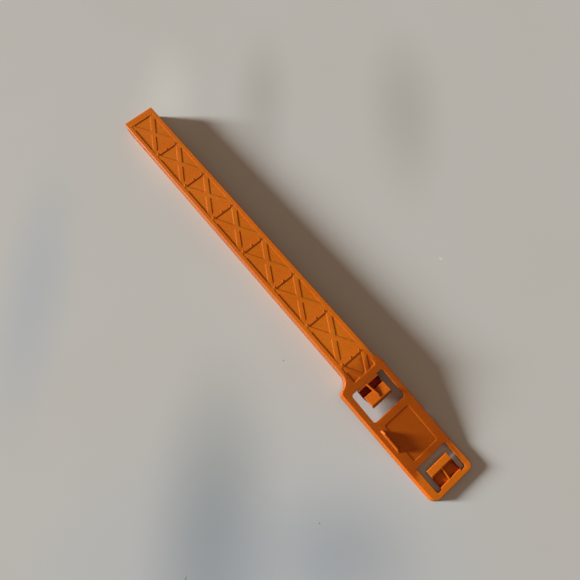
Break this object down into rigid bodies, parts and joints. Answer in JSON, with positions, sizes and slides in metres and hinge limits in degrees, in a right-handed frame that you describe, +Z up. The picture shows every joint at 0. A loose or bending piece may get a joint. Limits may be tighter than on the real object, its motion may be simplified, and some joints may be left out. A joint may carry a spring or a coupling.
{
  "type": "toy lattice strap with clip head",
  "caption": "Long rigid orange moulded toy strap: an open-bottomed channel with a raised X-braced lattice face and a low clip head with windows, a recessed panel and snap tongues.",
  "frame": {"origin": "centre of the part's footprint, on the plane that the channel walls and the head's end stand on", "axes": "+X from the square tip to the clip head, +Y across, +Z up through the lattice face"},
  "size_m": [0.3774, 0.0392, 0.0131],
  "materials": {
    "orange_plastic": "satin, finely textured moulded plastic"
  },
  "bodies": {
    "strap": {"left_border": "orange_plastic", "right_border": "orange_plastic", "tip_border": "orange_plastic", "lattice_web": "orange_plastic", "left_wall": "orange_plastic", "right_wall": "orange_plastic", "tip_wall": "orange_plastic", "channel_ribs": "orange_plastic", "neck_bulkhead": "orange_plastic", "cross_braces": "orange_plastic", "cell_struts": "orange_plastic", "strut_studs": "orange_plastic", "left_shoulder": "orange_plastic", "right_shoulder": "orange_plastic", "neck_bar": "orange_plastic", "inner_left_rail": "orange_plastic", "inner_right_rail": "orange_plastic", "bridge_panel": "orange_plastic", "outer_left_rail": "orange_plastic", "outer_right_rail": "orange_plastic", "end_bar": "orange_plastic", "left_shoulder_rim": "orange_plastic", "right_shoulder_rim": "orange_plastic", "left_rim": "orange_plastic", "right_rim": "orange_plastic", "end_rim": "orange_plastic", "grip_fin": "orange_plastic"},
    "inner_tongue": {"inner_tongue_root": "orange_plastic", "inner_tongue_floor": "orange_plastic", "inner_catch_plate": "orange_plastic", "inner_tongue_rib": "orange_plastic"},
    "outer_tongue": {"outer_tongue_root": "orange_plastic", "outer_tongue_floor": "orange_plastic", "outer_catch_plate": "orange_plastic", "outer_tongue_rib": "orange_plastic"}
  },
  "joints": [
    {"name": "inner_tongue_flex", "type": "hinge", "parent": "strap", "child": "inner_tongue", "pos_m": [0.10075, 0.0006, 0.01055], "axis": [0, 1, 0], "range_deg": [-3, 10], "stiffness_Nm_per_rad": 0.05},
    {"name": "outer_tongue_flex", "type": "hinge", "parent": "strap", "child": "outer_tongue", "pos_m": [0.1846, 0.0006, 0.0023], "axis": [0, -1, 0], "range_deg": [-3, 6], "stiffness_Nm_per_rad": 0.05}
  ]
}
